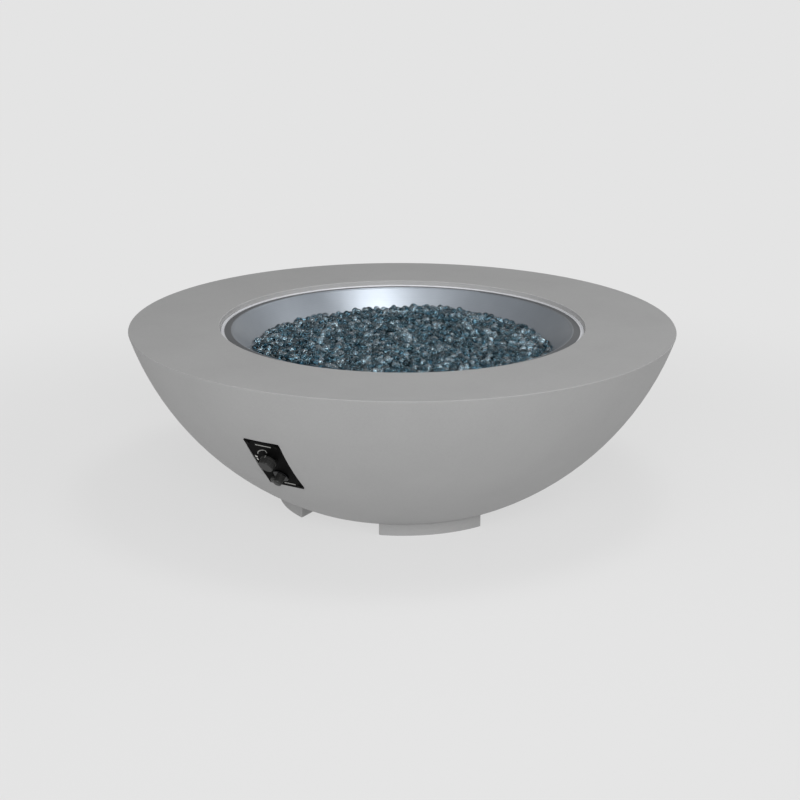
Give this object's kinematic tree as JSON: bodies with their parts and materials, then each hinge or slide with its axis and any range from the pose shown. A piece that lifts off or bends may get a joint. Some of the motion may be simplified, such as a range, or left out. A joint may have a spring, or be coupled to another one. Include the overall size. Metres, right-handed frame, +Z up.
{
  "type": "gas fire bowl",
  "caption": "Low round gas fire bowl: cast concrete shell on feet, drop-in steel burner pan with ring burner under fire glass, and a control panel with gas knob and push igniter.",
  "frame": {"origin": "middle of the footprint, on the ground under the feet", "axes": "+Z up; the control panel faces -Y; the channels between the feet run along X and Y"},
  "size_m": [1.0692, 1.0692, 0.355],
  "materials": {
    "concrete": "fine matt cast concrete, mid grey",
    "pan_steel": "spun stainless steel, satin",
    "burner_steel": "drawn stainless tube, lightly heat tinted",
    "bright_steel": "bright plated steel",
    "dark_plate": "dark plated ring nut",
    "plated_fastener": "zinc plated steel",
    "black_fastener": "black plated screw heads",
    "fibre_seal": "white ceramic fibre tape",
    "brass": "machined brass, slightly dulled",
    "valve_alloy": "die-cast, tumbled",
    "panel_black": "black satin powder coat with plain white marks",
    "knob_plastic": "dark grey moulded plastic",
    "pointer_white": "white inlaid bar",
    "igniter_plastic": "black moulded plastic",
    "button_plastic": "dark moulded cap, slight gloss",
    "cell_jacket": "plain metallic jacket",
    "ceramic": "white alumina",
    "hose_steel": "corrugated stainless hose",
    "lead_red": "silicone insulation",
    "copper_lead": "bare copper capillary",
    "fire_glass": "smoky teal tumbled fire glass"
  },
  "bodies": {
    "root": {"bowl_shell": "concrete", "bowl_feet": "concrete", "pan_gasket": "fibre_seal", "burner_pan": "pan_steel", "burner_outer_ring": "burner_steel", "burner_inner_ring": "burner_steel", "burner_spokes": "burner_steel", "burner_hub": "burner_steel", "burner_standoffs": "burner_steel", "burner_lock_nut": "plated_fastener", "air_mixer": "brass", "gas_orifice": "brass", "orifice_elbow": "brass", "flare_nuts": "brass", "burner_hose": "hose_steel", "outlet_union": "brass", "inlet_elbow": "brass", "valve_body": "valve_alloy", "valve_bonnet": "valve_alloy", "valve_screws": "black_fastener", "safety_magnet": "plated_fastener", "thermocouple_nut": "brass", "thermocouple_lead": "copper_lead", "thermocouple": "bright_steel", "pilot_bracket": "burner_steel", "pilot_screws": "plated_fastener", "electrode_insulator": "ceramic", "electrode_rod": "bright_steel", "ignition_lead": "lead_red", "igniter_housing": "igniter_plastic", "igniter_bezel_nut": "dark_plate", "igniter_battery": "cell_jacket", "igniter_terminals": "brass", "control_panel": "panel_black", "panel_screws": "black_fastener", "earth_stud": "black_fastener", "stud_nut": "plated_fastener", "fire_glass": "fire_glass"},
    "valve_plug": {"valve_plug": "brass"},
    "knob": {"valve_stem": "bright_steel", "control_knob": "knob_plastic", "knob_pointer": "pointer_white"},
    "igniter_button": {"igniter_button": "button_plastic"}
  },
  "joints": [
    {"name": "knob_turn", "type": "hinge", "parent": "root", "child": "valve_plug", "pos_m": [0, -0.45422, 0.20478], "axis": [0, -0.7944, -0.6074], "range_deg": [0, 210]},
    {"name": "knob_push", "type": "slide", "parent": "valve_plug", "child": "knob", "axis": [0, 0.7944, 0.6074], "range_m": [0, 0.003], "stiffness_N_per_m": 500, "springref_m": -0.004},
    {"name": "igniter_push", "type": "slide", "parent": "root", "child": "igniter_button", "axis": [0, 0.7944, 0.6074], "range_m": [0, 0.004], "stiffness_N_per_m": 400, "springref_m": -0.004}
  ]
}
